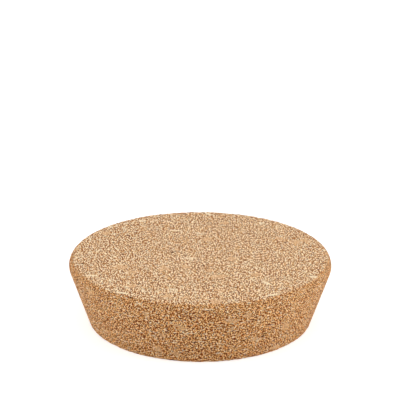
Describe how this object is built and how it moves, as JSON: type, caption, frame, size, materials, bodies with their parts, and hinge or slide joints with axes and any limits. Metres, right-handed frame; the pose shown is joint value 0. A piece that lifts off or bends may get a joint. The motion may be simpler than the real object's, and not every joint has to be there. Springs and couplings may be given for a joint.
{
  "type": "cork stopper",
  "caption": "Wide, low stopper of granulated cork: a tapered disc with a rounded shoulder and flat sanded faces, for the mouth of a jar.",
  "frame": {"origin": "centre of the flat bottom face, the small end that the stopper stands on", "axes": "+Z is the axis of the taper, from the small end up to the wide end; the form is round, so X and Y have no marked direction"},
  "size_m": [0.1, 0.1, 0.025],
  "materials": {
    "pressed_cork": "dry matte pressed cork granules, warm tan with cream and brown grains, dark specks and open pores"
  },
  "bodies": {
    "root": {"cork_stopper": "pressed_cork"}
  },
  "joints": []
}
